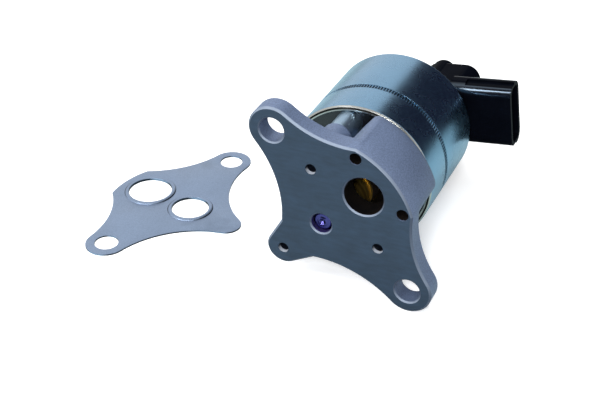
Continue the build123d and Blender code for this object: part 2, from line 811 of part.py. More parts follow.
# Embossed sheet gasket lying flat on the same surface
turn = radians(gasket_turn)
gasket_plane = Plane(origin=(gasket_x, gasket_y, surface_height), x_dir=(cos(turn), sin(turn), 0),
                     z_dir=(0, 0, 1))
gasket_face = kite_face(gasket_arc_radius, gasket_shoulder, gasket_ear_radius, (upper_bow, gasket_bow),
                        (gasket_waist_x, gasket_waist_y), gasket_foot, gasket_foot_radius)
with BuildPart() as flange_gasket:
    with BuildSketch(gasket_plane):
        add(gasket_face)
    extrude(amount=gasket_thickness)
    with BuildSketch(gasket_plane):
        with Locations((0, spindle_y)):
            Circle(gasket_inlet_bore / 2 + bead_width)
        with Locations((0, outlet_y)):
            Circle(gasket_outlet_bore / 2 + bead_width)
    extrude(amount=gasket_thickness + bead_height, taper=20)
    with BuildSketch(gasket_plane):
        with Locations((bolt_x, 0), (-bolt_x, 0)):
            Circle(gasket_bolt_bore / 2)
        with Locations((0, spindle_y)):
            Circle(gasket_inlet_bore / 2)
        with Locations((0, outlet_y)):
            Circle(gasket_outlet_bore / 2)
    extrude(amount=gasket_thickness + bead_height, mode=Mode.SUBTRACT)
flange_gasket.part.label = "flange_gasket"
export_step(flange_gasket.part, "parts/flange_gasket.step")
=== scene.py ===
"""Looks of a linear exhaust gas recirculation valve that lies on its side beside its gasket.

Laid out as a Blender add-on and run as a script. The part's frame is in metres: +Y runs along
the valve's spindle from the mounting face, and +Z is up. Outlines of spun pieces, and names
that end in _MM, are in millimetres.
"""

import json
from math import atan2, cos, hypot, pi, radians, sin, tau

import bmesh
import bpy
from bpy.props import FloatProperty, FloatVectorProperty, IntProperty, PointerProperty
from mathutils import Matrix, Vector


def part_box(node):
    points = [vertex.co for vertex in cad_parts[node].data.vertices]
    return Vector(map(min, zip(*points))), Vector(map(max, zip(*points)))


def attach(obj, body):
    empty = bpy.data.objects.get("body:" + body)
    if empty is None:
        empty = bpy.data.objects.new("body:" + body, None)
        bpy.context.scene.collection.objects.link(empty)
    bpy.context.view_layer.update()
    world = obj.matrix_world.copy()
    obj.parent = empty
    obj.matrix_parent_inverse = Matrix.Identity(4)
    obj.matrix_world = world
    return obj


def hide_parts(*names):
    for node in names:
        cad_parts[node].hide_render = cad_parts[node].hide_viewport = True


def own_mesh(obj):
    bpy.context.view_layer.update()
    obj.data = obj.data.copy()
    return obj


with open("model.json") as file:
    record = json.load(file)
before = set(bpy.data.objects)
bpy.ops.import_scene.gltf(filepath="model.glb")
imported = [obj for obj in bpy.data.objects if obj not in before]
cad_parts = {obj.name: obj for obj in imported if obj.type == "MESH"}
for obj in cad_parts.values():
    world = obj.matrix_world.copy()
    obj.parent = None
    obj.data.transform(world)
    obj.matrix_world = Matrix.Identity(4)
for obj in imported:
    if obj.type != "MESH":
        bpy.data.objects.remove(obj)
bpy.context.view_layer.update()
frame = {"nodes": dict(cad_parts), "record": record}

bl_info = {
    "name": "Exhaust Gas Recirculation Valve",
    "version": (1, 0, 0),
    "blender": (4, 5, 0),
    "location": "View3D > Sidebar > Valve",
    "description": "Builds the looks of a solenoid exhaust valve and its gasket around the packed part",
    "category": "Object",
}

MOUNTS = {mount["name"]: mount for mount in frame["record"]["mounts"]}
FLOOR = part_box("flange_gasket")[0].z
MM = 0.001
FACE_UP = Vector((0, 1, 0))

# Meshes: the welding distance, the angle past which an edge is sharp, how square to the spindle a
# flat face lies, how straight a corner is that stays as it is, the share of an edge that an arc may
# take, and the steps around small spun pieces
WELD = 1e-6
SHARP_DEGREES = 32
FLAT = 0.99999
STRAIGHT = pi - 0.02
ARC_REACH = 0.49
RING_STEPS = 96

# Can: the steps around it and around a corner; its crimp's rounding, groove and outer bead, and
# the bare metal on them and the painted shade in the groove; its knurl's bed, the teeth in it and the
# painted shade on its upper wall and in its gaps
CAN_STEPS = 240
CORNER_STEPS = 8
CRIMP_ROUND_MM = 0.3
CRIMP_GROOVE_MM = 0.25
CRIMP_DEPTH_MM = 0.6
CRIMP_STEP_MM = 0.15
CRIMP_RISE_MM = 0.95
CRIMP_SHADE_MM = 0.33
CRIMP_BARE_MM = (-1, 0.85)
CRIMP_METAL = (0.42, 0.43, 0.41)
KNURL_BED_MM = 0.06
KNURL_EASE_MM = 0.12
KNURL_ROUND_MM = 0.08
TOOTH_STEPS = 4
TOOTH_GAP_MM = 0.28
WALL_GAP_MM = 0.03
WALL_REACH_MM = 1
# How dark the painted shade is on the knurl's wall, in its gaps and in the crimp's groove
WALL_SHADE = 0.4
RECESS_SHADE = 0.12

# Gasket: the share of the width, the share of the rise and the rounding of each corner of its bead,
# the normal of its underside, the angle of the rims that are bevelled, its stains and the painted shade on
# its flanks
BEAD_CORNERS = ((0, 0.7, 0.15), (0.45, 1, 0.6), (0.8, 0.5, 0.5), (1, 0, 0.1))
UNDERSIDE = -0.99
RIM_ANGLE = 1
STAIN_SHADE = 0.45
FLANK_SHADE = 0.1

# Pintle: radius, height and rounding of each corner of its nose, above its lowest point, and of its
# head, above the mounting face, and the radius of its stem
NOSE_MM = ((0, 0.9), (0.3, 0.9), (1.05, 0.25), (1.25, 0.06, 0.12), (2.0, 0.35, 0.8), (2.9, 0.45, 0.5),
           (3.5, 1.2, 0.4))
HEAD_MM = ((3.5, 5.64, 0.1), (5.5, 7.64, 0.15), (5.5, 8.8, 0.1), (2.5, 10.8, 0.3))
STEM_MM = 2.5

# Casting: how deep the ground face reaches and which normals are face, bevel and a hole's bottom;
# the screw holes and how deep the painted light in them reaches; the inlet; the burnt bores, chamber and
# passage; how softly the draft sets in
FACE_DEPTH_MM = 0.75
FACE_NORMAL = -0.97
BEVEL_NORMAL = -0.25
BOTTOM_NORMAL = -0.9
SCREW_SPOTS = ((17.7, -2.2), (-17.7, -2.2), (0, 29.5))
SCREW_BORE_MM = 2.6
SCREW_SPAN_MM = (0.05, 6.5)
BORE_LIT_DEPTH_MM = 1.6
INLET_BORE_MM = 3.95
BURNT_FROM_MM = 0.55
BURNT_MARGIN_MM = 0.12
CHAMBER_MM = 11.2
CHAMBER_SPAN_MM = (7.3, 25.1)
PASSAGE_HALF_MM = 7.3
PASSAGE_SPAN_MM = (8.3, 25.1)
DRAFT_EASE = 0.1

# Finishes: the noise; the casting, with painted light and shade on its bevels and in its screw holes; the
# cap's painted highlight and sheen; the base plate and the inner pieces
GRAIN_ROUGHNESS = 0.6
SPECKLE = 0.28
CAST_METALLIC = 0.3
# Colour of a bevel that faces up: wear on the metal, lightened as painted light
WORN_AND_LIT_EDGE = (0.18, 0.22, 0.29)
INLET_TINT = (0.12, 0.10, 0.32)
# Painted shade and painted light in the screw holes
BORE_SHADE = (0.010, 0.012, 0.020)
BORE_LIT = (0.62, 0.67, 0.76)
BURNT_BROWN = (0.0115, 0.0085, 0.0065)
# Cap: the facing and tint of its painted highlight, and its matt, highlight and back sheen gloss levels
HIGHLIGHT_FACING = (0, -0.766, 0.643)
HIGHLIGHT_TINT = (0.62, 0.80, 1.0)
MATT_IOR, HIGHLIGHT_IOR, BACK_SHEEN_IOR = 1.04, 2.0, 1.4
PLATE_GREY = (0.055, 0.058, 0.062)
BARE_STEEL = (0.55, 0.55, 0.57)
SLEEVE_BRASS = (0.72, 0.52, 0.22)
COPPER = (0.70, 0.28, 0.12)
PALE_PLASTIC = (0.62, 0.60, 0.52)
BOBBIN_GREEN = (0.04, 0.09, 0.06)
BOARD_GREEN = (0.03, 0.05, 0.04)
RUBBER = (0.02, 0.02, 0.02)

# Stage: the floor's paint and the distances over which it turns white, the sky and the cards
FLOOR_PAINT = (0.80, 0.80, 0.80)
FLOOR_MIRRORED_PAINT = (0.42, 0.545, 0.543)
FLOOR_FADE = (0.35, 1.0)
FLOOR_DROP = 0.00002
SKY = (0.93, 0.96, 1)
WHITE = (1, 1, 1)
CARD_TINT = (0.45, 0.42, 0.72)
CARD_GLOW = 0.055
CLIP_START = 0.01

# Card: name, low corner and high corner
CARDS = (("right_card", (-0.02, 0.45, FLOOR), (1.6, 0.45, 1.3)),
         ("front_card", (-1.6, -1.0, FLOOR), (1.6, -1.0, 3.2)))

# Lamp: name, place, aim, size, power in watts, and whether the pieces' gloss shows it
LAMPS = (("top_box", (-0.10, 0.25, 0.75), (0, 0.04, 0), (0.6, 0.6), 5.0, False),
         ("front_strip", (0.05, -0.46, 0.66), (0.05, 0.02, 0), (0.6, 0.04), 1.7, True),
         ("cap_box", (-0.40, -0.44, 0.54), (0.08, 0.04, 0), (0.3, 0.2), 2.4, True),
         ("lens_box", (0.11, -0.36, 0.27), (0, 0, 0), (0.06, 0.06), 1.3, True),
         ("left_box", (-0.80, -0.10, 0.40), (0, 0.04, 0), (0.5, 0.5), 2.0, False))


# Places in the part's frame

def face_frame():
    """Matrix of the mounting face: x between the bolt holes, y to the foot, z along the spindle."""
    outlet = Vector(MOUNTS["outlet_port"]["pos_m"])
    foot = Vector((-outlet.x, 0, -outlet.z)).normalized()
    return Matrix((foot.cross(FACE_UP), foot, FACE_UP)).transposed().to_4x4()


FACE = face_frame()
SPINDLE_Y = (FACE.inverted() @ Vector(MOUNTS["inlet_port"]["pos_m"])).y
SPINDLE = FACE @ Matrix.Translation((0, SPINDLE_Y, 0))
SPINDLE_MM = SPINDLE_Y / MM
CAN_LOW_MM, CAN_HIGH_MM = [(SPINDLE.inverted() @ Vector((0, corner.y, 0))).z / MM
                           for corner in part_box("solenoid_can")]


def round_bores():
    """Centre and radius in millimetres of each round bore in the face, in the face's frame."""
    bores = []
    for name in ("outlet_port", "dowel_bore_left", "dowel_bore_right"):
        place = FACE.inverted() @ Vector(MOUNTS[name]["pos_m"]) / MM
        bores.append(((place.x, place.y), MOUNTS[name]["dims"]["r_mm"]))
    return bores


ROUND_BORES = round_bores()
OUTLET_MM = ROUND_BORES[0][0][1]


def aimed(place, target):
    """Matrix of a lamp that stands at a place and shines at a target."""
    return Matrix.Translation(place) @ (target - place).to_track_quat("-Z", "Y").to_matrix().to_4x4()


# Mesh helpers

def copied(node):
    """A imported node's mesh, copied and merged."""
    bm = bmesh.new()
    bm.from_mesh(frame["nodes"][node].data)
    bmesh.ops.remove_doubles(bm, verts=bm.verts, dist=WELD)
    return bm


def spun(points, steps, closed=True):
    """Spins an outline of (radius, height) points about the z axis; it is closed unless told otherwise."""
    bm = bmesh.new()
    corners = [bm.verts.new((r * MM, 0, h * MM)) for r, h in points]
    pairs = list(zip(corners, corners[1:]))
    if closed:
        pairs.append((corners[-1], corners[0]))
    edges = [bm.edges.new(pair) for pair in pairs]
    bmesh.ops.spin(bm, geom=corners + edges, cent=(0, 0, 0), axis=(0, 0, 1), angle=tau,
                   steps=steps, use_merge=True, use_duplicate=False)
    return bm


def rounded(points, steps):
    """Outline with an arc at each (radius, height, rounding) point; points of two numbers stay sharp."""
    result = []
    for i, point in enumerate(points):
        here = Vector(point[:2])
        before = Vector(points[i - 1][:2]) - here
        after = Vector(points[(i + 1) % len(points)][:2]) - here
        turn = before.angle(after)
        if len(point) == 2 or turn > STRAIGHT:
            result.append(tuple(here))
            continue
        reach = min(point[2] / sin(turn / 2) * cos(turn / 2),
                    ARC_REACH * before.length, ARC_REACH * after.length)
        size = reach * sin(turn / 2) / cos(turn / 2)
        centre = here + (before.normalized() + after.normalized()).normalized() * (size / sin(turn / 2))
        first = here + before.normalized() * reach - centre
        last = here + after.normalized() * reach - centre
        for k in range(steps + 1):
            share = k / steps
            way = first * (1 - share) + last * share
            result.append(tuple(centre + way.normalized() * size))
    return result


def add_part(bm, part):
    """Adds one mesh to another."""
    carrier = bpy.data.meshes.new("part")
    part.to_mesh(carrier)
    part.free()
    bm.from_mesh(carrier)
    bpy.data.meshes.remove(carrier)


def new_object(bm, name, material):
    """Makes a mesh an object of the scene."""
    mesh = bpy.data.meshes.new(name)
    bm.to_mesh(mesh)
    bm.free()
    mesh.materials.append(material)
    made = bpy.data.objects.new(name, mesh)
    bpy.context.scene.collection.objects.link(made)
    return made


def finish_piece(bm, name, place, material, slot, body, *nodes):
    """Puts a mesh in its place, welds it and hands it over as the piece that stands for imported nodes.

    The rims of faces square to the spindle are made sharp at any angle, so that these stay flat.
    """
    bmesh.ops.transform(bm, matrix=place, verts=bm.verts)
    bmesh.ops.remove_doubles(bm, verts=bm.verts, dist=WELD)
    bmesh.ops.recalc_face_normals(bm, faces=bm.faces)
    bm.edges.index_update()
    rims = [edge.index for edge in bm.edges
            if len({abs(face.normal.y) > FLAT for face in edge.link_faces}) == 2]
    piece = new_object(bm, name, material)
    piece.data.shade_smooth()
    piece.data.set_sharp_from_angle(angle=radians(SHARP_DEGREES))
    for rim in rims:
        piece.data.edges[rim].use_edge_sharp = True
    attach(piece, body)
    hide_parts(*nodes)
    return piece


def dress(material, *nodes):
    """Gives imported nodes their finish."""
    for node in nodes:
        materials = frame["nodes"][node].data.materials
        materials.clear()
        materials.append(material)


# Material helpers

def put(tree, socket, value):
    """Links a socket to another one or gives it a value; a colour may come without its alpha."""
    if isinstance(value, bpy.types.NodeSocket):
        tree.links.new(value, socket)
    elif socket.type == "RGBA":
        socket.default_value = (*value, 1)
    else:
        socket.default_value = value


def add_node(tree, kind, inputs=None, **settings):
    """Adds a shader node with its settings and its inputs, which are values or other nodes' sockets."""
    made = tree.nodes.new(kind)
    for key, value in settings.items():
        setattr(made, key, value)
    for key, value in (inputs or {}).items():
        put(tree, made.inputs[key], value)
    return made


def bare_tree(block):
    """The emptied shader tree of a new material or world."""
    block.use_nodes = True
    block.node_tree.nodes.clear()
    return block.node_tree


def drive(tree, shader, **inputs):
    """Gives the shader's inputs their values or sockets; an underscore stands for a space."""
    for key, value in inputs.items():
        put(tree, shader.inputs[key.replace("_", " ")], value)


def new_material(name, **inputs):
    """A material, its tree and its shader, with plain values on the shader's own sockets."""
    made = bpy.data.materials.new(name)
    made.use_nodes = True
    shader = made.node_tree.nodes["Principled BSDF"]
    drive(made.node_tree, shader, **inputs)
    return made, made.node_tree, shader


def grain(tree, scale, detail, stretch=(1, 1, 1)):
    """Noise on the piece's own coordinates; scale is in features per metre."""
    place = add_node(tree, "ShaderNodeTexCoord")
    spread = add_node(tree, "ShaderNodeMapping", {"Vector": place.outputs["Object"], "Scale": stretch})
    noise = add_node(tree, "ShaderNodeTexNoise", {"Vector": spread.outputs["Vector"], "Scale": scale,
                                                  "Detail": detail, "Roughness": GRAIN_ROUGHNESS})
    return noise.outputs["Fac"]


def between(tree, fac, low, high, start=0.35, end=0.65):
    """Blends two values or two colours as a factor goes from start to end."""
    if isinstance(low, (int, float)):
        blend = add_node(tree, "ShaderNodeMapRange", {"Value": fac, "From Min": start, "From Max": end,
                                                      "To Min": low, "To Max": high})
        return blend.outputs["Result"]
    ramp = add_node(tree, "ShaderNodeValToRGB", {"Fac": fac})
    for stop, position, colour in zip(ramp.color_ramp.elements, (start, end), (low, high)):
        stop.position = position
        stop.color = (*colour, 1)
    return ramp.outputs["Color"]


def shade(colour, amount):
    """The colour made lighter or darker."""
    return tuple(min(1.0, c * amount) for c in colour)


def varied(tree, fac, base, low, high):
    """A colour or a value that a pattern takes from one share of itself to another."""
    if isinstance(base, float):
        return between(tree, fac, base * low, base * high)
    return between(tree, fac, shade(base, low), shade(base, high))


def mix_colour(tree, fac, first, second):
    """Mixes two colours or colour sockets."""
    return add_node(tree, "ShaderNodeMix", {0: fac, 6: first, 7: second}, data_type="RGBA").outputs[2]


def mix_value(tree, fac, first, second):
    """Mixes two numbers or number sockets."""
    return add_node(tree, "ShaderNodeMix", {0: fac, 2: first, 3: second}, data_type="FLOAT").outputs[0]


def paint_over(tree, fac, colour):
    """Lays a colour over the shader's present one, as far as a factor says."""
    base = tree.nodes["Principled BSDF"].inputs["Base Color"]
    tree.links.new(mix_colour(tree, fac, base.links[0].from_socket, colour), base)


def bumped(tree, height, depth, strength):
    """Normals of a surface raised by a height pattern; depth is in metres."""
    made = add_node(tree, "ShaderNodeBump", {"Height": height, "Distance": depth, "Strength": strength})
    return made.outputs["Normal"]


def math_node(tree, operation, first, second=0.0):
    """Result of one sum or test on two numbers or number sockets."""
    return add_node(tree, "ShaderNodeMath", {0: first, 1: second}, operation=operation).outputs[0]


def all_of(tree, first, *masks):
    """1 where every mask is 1, else 0."""
    for mask in masks:
        first = math_node(tree, "MULTIPLY", first, mask)
    return first


def any_of(tree, first, *masks):
    """1 where one mask or more is 1, else 0."""
    for mask in masks:
        first = math_node(tree, "MAXIMUM", first, mask)
    return first


def face_places(tree):
    """Sideways, lengthways and height places in millimetres, in the mounting face's own frame."""
    place = add_node(tree, "ShaderNodeTexCoord")
    turned = add_node(tree, "ShaderNodeMapping", {
        "Vector": place.outputs["Object"], "Rotation": FACE.to_3x3().inverted().to_euler(),
        "Scale": (1 / MM, 1 / MM, 1 / MM)})
    parts = add_node(tree, "ShaderNodeSeparateXYZ", {"Vector": turned.outputs["Vector"]})
    return parts.outputs["X"], parts.outputs["Y"], parts.outputs["Z"]


def normal_parts(tree, kind):
    """The x, y and z of the surface's normal; its kind is True Normal, or Normal for the smoothed one."""
    shape = add_node(tree, "ShaderNodeNewGeometry")
    return add_node(tree, "ShaderNodeSeparateXYZ", {"Vector": shape.outputs[kind]}).outputs


def inside_round(tree, places, radius, centre=(0, SPINDLE_MM)):
    """1 within a radius of a line along the spindle's direction, else 0; all in millimetres."""
    flat = add_node(tree, "ShaderNodeCombineXYZ", {"X": places[0], "Y": places[1]})
    far = add_node(tree, "ShaderNodeVectorMath", {0: flat.outputs[0], 1: (*centre, 0)}, operation="DISTANCE")
    return math_node(tree, "LESS_THAN", far.outputs["Value"], radius)


def inside_span(tree, value, low, high):
    """1 where a value lies between two limits, else 0."""
    return all_of(tree, math_node(tree, "GREATER_THAN", value, low),
                  math_node(tree, "LESS_THAN", value, high))


# Finishes

def plated_steel(name, colour, rough=0.27):
    """Plated or bare sheet: a bright metal with a cloudy tint and the fine grain of rolled steel."""
    made, tree, shader = new_material(name, Metallic=1.0)
    cloud = grain(tree, scale=60, detail=5)
    fine = grain(tree, scale=3400, detail=2)
    tint = mix_colour(tree, SPECKLE, varied(tree, cloud, colour, 0.93, 1.06),
                      varied(tree, fine, colour, 0.6, 1.3))
    drive(tree, shader, Base_Color=tint, Roughness=varied(tree, cloud, rough, 0.92, 1.1),
          Normal=bumped(tree, fine, depth=0.000004, strength=0.5))
    return made


def cast_metal(name, face_colour, side_colour, soot):
    """Casting: a tumbled grainy skin, a darker ground face, bevels with wear and painted light and shade,
    drilled holes with painted light and shade, and burnt bores.
    """
    made, tree, shader = new_material(name)
    places = face_places(tree)
    across, along, height = places
    normal = normal_parts(tree, "True Normal")
    near = math_node(tree, "LESS_THAN", height, FACE_DEPTH_MM)
    flat = all_of(tree, near, math_node(tree, "LESS_THAN", normal["Y"], FACE_NORMAL))
    bevel = all_of(tree, near, inside_span(tree, normal["Y"], FACE_NORMAL, BEVEL_NORMAL))
    within = math_node(tree, "GREATER_THAN", height, BURNT_FROM_MM)
    bores = [all_of(tree, within, inside_round(tree, places, radius + BURNT_MARGIN_MM, centre))
             for centre, radius in ROUND_BORES]
    inlet = all_of(tree, within, inside_round(tree, places, INLET_BORE_MM))
    chamber = all_of(tree, inside_round(tree, places, CHAMBER_MM),
                     inside_span(tree, height, *CHAMBER_SPAN_MM))
    passage = all_of(tree, inside_span(tree, across, -PASSAGE_HALF_MM, PASSAGE_HALF_MM),
                     inside_span(tree, along, OUTLET_MM, SPINDLE_MM),
                     inside_span(tree, height, *PASSAGE_SPAN_MM))
    sooty = any_of(tree, *bores, chamber, passage)
    screws = [inside_round(tree, places, SCREW_BORE_MM, spot) for spot in SCREW_SPOTS]
    drilled = all_of(tree, inside_span(tree, height, *SCREW_SPAN_MM), any_of(tree, *screws))
    # Painted shade on a hole's bottom and on its wall deeper than the painted light reaches
    unlit = any_of(tree, math_node(tree, "LESS_THAN", normal["Y"], BOTTOM_NORMAL),
                   math_node(tree, "GREATER_THAN", height, BORE_LIT_DEPTH_MM))

    cloud = grain(tree, scale=70, detail=6)
    fine = grain(tree, scale=2100, detail=3)
    scuff = grain(tree, scale=420, detail=5, stretch=(0.35, 1, 1.6))
    skin = mix_colour(tree, 0.5, varied(tree, cloud, side_colour, 0.90, 1.08),
                      varied(tree, fine, side_colour, 0.62, 1.40))
    ground = mix_colour(tree, 0.5, varied(tree, cloud, face_colour, 0.82, 1.16),
                        varied(tree, scuff, face_colour, 0.70, 1.30))
    # Bevels: wear on the metal, with painted light where they face up and painted shade where they face down
    worn_and_lit = between(tree, normal["Z"], shade(side_colour, 0.45), WORN_AND_LIT_EDGE, start=0.0, end=0.5)
    # Painted light on the screw holes' upward-facing walls, painted shade on the rest
    lit_wall = between(tree, normal["Z"], BORE_SHADE, BORE_LIT, start=0.1, end=0.7)
    for where, colour in ((flat, ground), (bevel, worn_and_lit),
                          (drilled, mix_colour(tree, unlit, lit_wall, BORE_SHADE)), (inlet, INLET_TINT),
                          (sooty, between(tree, cloud, soot, BURNT_BROWN))):
        skin = mix_colour(tree, where, skin, colour)
    rough = between(tree, cloud, 0.48, 0.58)
    for where, value in ((flat, between(tree, scuff, 0.38, 0.48)), (drilled, 0.28), (sooty, 0.75)):
        rough = mix_value(tree, where, rough, value)
    grainy = math_node(tree, "MULTIPLY", fine, math_node(tree, "SUBTRACT", 1.0, flat))
    drive(tree, shader, Base_Color=skin, Roughness=rough,
          Metallic=mix_value(tree, inlet, CAST_METALLIC, 1.0),
          Specular_IOR_Level=mix_value(tree, sooty, 0.5, 0.08),
          Normal=bumped(tree, grainy, depth=0.00006, strength=0.5))
    return made


def moulded_plastic(name, colour, rough):
    """Moulded plastic or rubber: a faint orange-peel skin with slightly uneven gloss."""
    made, tree, shader = new_material(name, IOR=1.5)
    cloud = grain(tree, scale=120, detail=4)
    drive(tree, shader, Base_Color=varied(tree, cloud, colour, 0.85, 1.2),
          Roughness=varied(tree, cloud, rough, 0.88, 1.15),
          Normal=bumped(tree, grain(tree, scale=900, detail=3), depth=0.000012, strength=0.4))
    return made


def cap_plastic(name, colour):
    """Black moulded plastic: matt faces, a painted highlight as more gloss where the surface faces up and
    forward, mostly on its rounded edges, and a painted sheen as more gloss where it turns towards +Y.
    """
    made = moulded_plastic(name, colour, rough=0.15)
    tree = made.node_tree
    shape = add_node(tree, "ShaderNodeNewGeometry")
    facing = add_node(tree, "ShaderNodeVectorMath", {0: shape.outputs["Normal"], 1: HIGHLIGHT_FACING},
                      operation="DOT_PRODUCT")
    # Painted highlight where the surface faces up and forward, and painted sheen where it turns towards +Y
    edge = between(tree, facing.outputs["Value"], MATT_IOR, HIGHLIGHT_IOR, start=0.82, end=0.97)
    back = between(tree, normal_parts(tree, "Normal")["Y"], MATT_IOR, BACK_SHEEN_IOR, start=0.05, end=0.5)
    drive(tree, tree.nodes["Principled BSDF"], Specular_Tint=HIGHLIGHT_TINT, IOR=any_of(tree, edge, back))
    return made


def turned_metal(name, colour, rough=0.3, pitch=1400, depth=0.00005):
    """Turned metal: fine tool rings around the spindle; pitch is in rings per metre, depth in metres."""
    made, tree, shader = new_material(name, Metallic=1.0)
    rings = grain(tree, scale=pitch, detail=2, stretch=(0.02, 1, 0.02))
    cloud = grain(tree, scale=150, detail=4)
    tint = mix_colour(tree, 0.5, varied(tree, cloud, colour, 0.8, 1.15),
                      varied(tree, rings, colour, 0.75, 1.2))
    drive(tree, shader, Base_Color=tint, Roughness=varied(tree, rings, rough, 0.8, 1.25),
          Normal=bumped(tree, rings, depth, strength=0.6))
    return made


# Sizes and colours

class ValveSizes(bpy.types.PropertyGroup):
    """Sizes of the valve's visible pieces."""

    draft: FloatProperty(name="Draft", description="Share by which the wall's top edge is drawn in",
                         default=0.17, subtype="FACTOR", min=0, max=1)
    draft_drop: FloatProperty(name="Draft drop", description="How far the wall's top edge is lowered",
                              default=0.0012, unit="LENGTH")
    draft_foot: FloatProperty(name="Draft foot", description="Distance of its foot from the mounting face",
                              default=0.022, unit="LENGTH")
    draft_inside: FloatProperty(name="Draft inside", description="Radius inside which nothing is drawn in",
                                default=0.0225, unit="LENGTH")
    can_radius: FloatProperty(name="Can radius", description="Outside radius of the solenoid can",
                              default=0.02793, unit="LENGTH")
    can_wall: FloatProperty(name="Can wall", description="Thickness of the can's sheet",
                            default=0.0016, unit="LENGTH")
    can_roll: FloatProperty(name="Crimp roll", description="How far the crimped edge turns back inside",
                            default=0.0013, unit="LENGTH")
    can_shoulder: FloatProperty(name="Can shoulder", description="Radius of the drawn edge at the cap",
                                default=0.001, unit="LENGTH")
    can_mouth: FloatProperty(name="Can mouth", description="Radius of the opening under the cap",
                             default=0.021, unit="LENGTH")
    lip_overlap: FloatProperty(name="Lip overlap", description="How far the crimp reaches into the bore",
                               default=0.0003, unit="LENGTH")
    knurl_height: FloatProperty(name="Knurl height", description="Distance of it from the mounting face",
                                default=0.0505, unit="LENGTH")
    knurl_width: FloatProperty(name="Knurl width", description="Width of the knurled line",
                               default=0.0023, unit="LENGTH")
    knurl_depth: FloatProperty(name="Knurl depth", description="How deep the knurled line is pressed",
                               default=0.00035, unit="LENGTH")
    knurl_teeth: IntProperty(name="Knurl teeth", description="Teeth around the knurled line",
                             default=165, min=12)
    gasket_sheet: FloatProperty(name="Gasket sheet", description="Thickness of the gasket's sheet",
                                default=0.0006, unit="LENGTH")
    bead_width: FloatProperty(name="Bead width", description="Width of the pressed bead around a gas hole",
                              default=0.0017, unit="LENGTH")
    bead_rise: FloatProperty(name="Bead rise", description="How far the pressed bead stands above the sheet",
                             default=0.0005, unit="LENGTH")


class ValveColours(bpy.types.PropertyGroup):
    """Colours of the valve's finishes."""

    face: FloatVectorProperty(name="Ground face", description="Colour of the mounting face",
                              subtype="COLOR", default=(0.0170, 0.0335, 0.0625))
    casting: FloatVectorProperty(name="Casting", description="Colour of the cast skin",
                                 subtype="COLOR", default=(0.112, 0.150, 0.240))
    soot: FloatVectorProperty(name="Soot", description="Colour of the burnt bores and gas chamber",
                              subtype="COLOR", default=(0.0035, 0.0032, 0.004))
    zinc: FloatVectorProperty(name="Zinc plate", description="Tint of the plated can",
                              subtype="COLOR", default=(0.215, 0.38, 0.545))
    post: FloatVectorProperty(name="Post plate", description="Tint of the plated posts and screws",
                              subtype="COLOR", default=(0.34, 0.47, 0.60))
    plastic: FloatVectorProperty(name="Plastic", description="Colour of the moulded cap",
                                 subtype="COLOR", default=(0.0018, 0.0024, 0.0045))
    steel: FloatVectorProperty(name="Heat-tinted steel", description="Colour of the pintle and its seat",
                               subtype="COLOR", default=(0.060, 0.056, 0.19))
    bronze: FloatVectorProperty(name="Bronze", description="Colour of the stem's bushing",
                                subtype="COLOR", default=(1.0, 0.64, 0.17))
    gasket: FloatVectorProperty(name="Gasket", description="Colour of the gasket's sheet",
                                subtype="COLOR", default=(0.28, 0.36, 0.50))


class StageLook(bpy.types.PropertyGroup):
    """Floor, light and camera."""

    floor_size: FloatProperty(name="Floor size", description="Side of the pale floor",
                              default=6.0, unit="LENGTH")
    floor_glow: FloatProperty(name="Floor glow", description="What is added to the floor near the part",
                              default=0.5)
    floor_mirrored: FloatProperty(name="Mirrored floor", description="What is added to it in metal's gloss",
                                  default=0.08)
    ambient: FloatProperty(name="Ambient", description="Light from all around", default=0.36)
    focal: FloatProperty(name="Focal length", description="Focal length of the camera in millimetres",
                         default=76.33, unit="CAMERA")
    camera_place: FloatVectorProperty(name="Camera place", description="Where the camera stands",
                                      subtype="TRANSLATION", default=(0.135454, -0.329785, 0.236719))
    camera_look: FloatVectorProperty(name="Camera direction", description="Which way the camera looks",
                                     subtype="DIRECTION", default=(-0.34728, 0.76298, -0.54521))
    camera_up: FloatVectorProperty(name="Camera up", description="Which way is up in the picture",
                                   subtype="DIRECTION", default=(-0.21483, 0.50121, 0.83824))


# Pieces

class VALVE_OT_casting(bpy.types.Operator):
    """Draws in the casting's wall and gives it its ground face and tumbled skin"""

    bl_idname = "valve.casting"
    bl_label = "Casting"

    def execute(self, context):
        colours = context.scene.valve_colours
        bm = copied("base_housing")
        self.draw_in(bm, context.scene.valve_sizes)
        skin = cast_metal("casting", colours.face, colours.casting, colours.soot)
        finish_piece(bm, "casting", Matrix.Identity(4), skin, "casting", "valve_body", "base_housing")
        return {"FINISHED"}

    def draw_in(self, bm, sizes):
        """Draws the wall in and down towards its top edge, as a casting leaves its mould."""
        back = SPINDLE.inverted()
        foot, top = sizes.draft_foot, CAN_LOW_MM * MM
        for vert in bm.verts:
            place = back @ vert.co
            share = min(max((place.z - foot) / (top - foot), 0), 1)
            outward = min(max((hypot(place.x, place.y) / sizes.draft_inside - 1) / DRAFT_EASE, 0), 1)
            pull = 1 - sizes.draft * share ** 2 * outward
            drop = sizes.draft_drop * share ** 2 * outward
            vert.co = SPINDLE @ Vector((place.x * pull, place.y * pull, place.z - drop))


